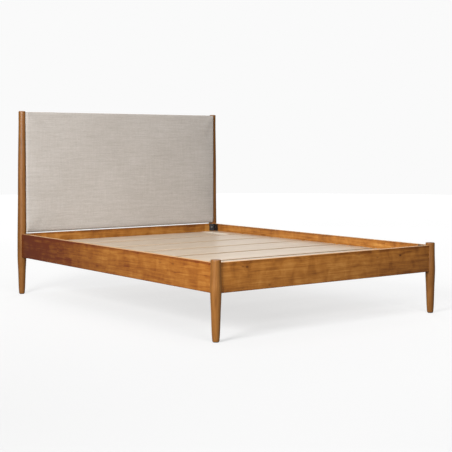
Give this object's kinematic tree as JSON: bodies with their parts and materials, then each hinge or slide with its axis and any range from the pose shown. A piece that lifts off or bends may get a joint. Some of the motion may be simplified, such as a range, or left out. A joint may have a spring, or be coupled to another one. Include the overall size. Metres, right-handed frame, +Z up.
{
  "type": "wooden bed frame",
  "caption": "Queen-size wooden bed frame with round tapered legs, plain rails, a deck of wide slats and an upholstered headboard panel between two posts.",
  "frame": {"origin": "on the floor, at the middle of the frame's footprint", "axes": "+Z up, +Y towards the headboard, +X to the right as seen from the foot end"},
  "size_m": [1.6306, 2.2383, 1.217],
  "materials": {
    "stained_wood": "satin red-brown stain and lacquer over pine-like grain",
    "slat_board": "pale smooth board with a low sheen",
    "plain_softwood": "planed, unfinished",
    "plywood": "unfinished plywood",
    "upholstery_fabric": "taupe linen-look weave with horizontal slubs",
    "foam": "open-cell foam",
    "dust_cloth": "black non-woven cloth",
    "black_steel": "black powder coat on folded steel",
    "dark_zinc_steel": "dark zinc plate",
    "black_plastic": "matt black plastic"
  },
  "bodies": {
    "bed_frame": {"beam_hanger_foot": "black_steel", "beam_hanger_head": "black_steel", "bracket_screw_foot_left": "dark_zinc_steel", "bracket_screw_foot_right": "dark_zinc_steel", "bracket_screw_head_left": "dark_zinc_steel", "bracket_screw_head_right": "dark_zinc_steel", "centre_beam": "plain_softwood", "centre_leg": "stained_wood", "corner_bracket_foot_left": "black_steel", "corner_bracket_foot_right": "black_steel", "corner_bracket_head_left": "black_steel", "corner_bracket_head_right": "black_steel", "flange_nut_foot_left": "dark_zinc_steel", "flange_nut_foot_right": "dark_zinc_steel", "flange_nut_head_left": "dark_zinc_steel", "flange_nut_head_right": "dark_zinc_steel", "foot_leg_left": "stained_wood", "foot_leg_right": "stained_wood", "foot_rail": "stained_wood", "hanger_bolt_foot_left": "dark_zinc_steel", "hanger_bolt_foot_right": "dark_zinc_steel", "hanger_bolt_head_left": "dark_zinc_steel", "hanger_bolt_head_right": "dark_zinc_steel", "hanger_screw_foot_left": "dark_zinc_steel", "hanger_screw_foot_right": "dark_zinc_steel", "hanger_screw_head_left": "dark_zinc_steel", "hanger_screw_head_right": "dark_zinc_steel", "head_rail": "stained_wood", "headboard_post_left": "stained_wood", "headboard_post_right": "stained_wood", "leg_glide_foot_left": "black_plastic", "leg_glide_foot_right": "black_plastic", "leg_glide_head_left": "black_plastic", "leg_glide_head_right": "black_plastic", "panel_backing_board": "plywood", "panel_bottom_batten": "plain_softwood", "panel_dowel_left_lower": "plain_softwood", "panel_dowel_left_upper": "plain_softwood", "panel_dowel_right_lower": "plain_softwood", "panel_dowel_right_upper": "plain_softwood", "panel_dust_cover": "dust_cloth", "panel_fabric_cover": "upholstery_fabric", "panel_foam_pad": "foam", "panel_stile_left": "plain_softwood", "panel_stile_right": "plain_softwood", "panel_top_batten": "plain_softwood", "side_rail_left": "stained_wood", "side_rail_right": "stained_wood", "slat_1": "slat_board", "slat_2": "slat_board", "slat_3": "slat_board", "slat_4": "slat_board", "slat_5": "slat_board", "slat_6": "slat_board", "slat_ledger_left": "plain_softwood", "slat_ledger_right": "plain_softwood"},
    "leveller": {"centre_leg_leveller": "black_plastic"}
  },
  "joints": [
    {"name": "leveller_height", "type": "slide", "parent": "bed_frame", "child": "leveller", "axis": [0, 0, -1], "range_m": [-0.01, 0.012]}
  ]
}
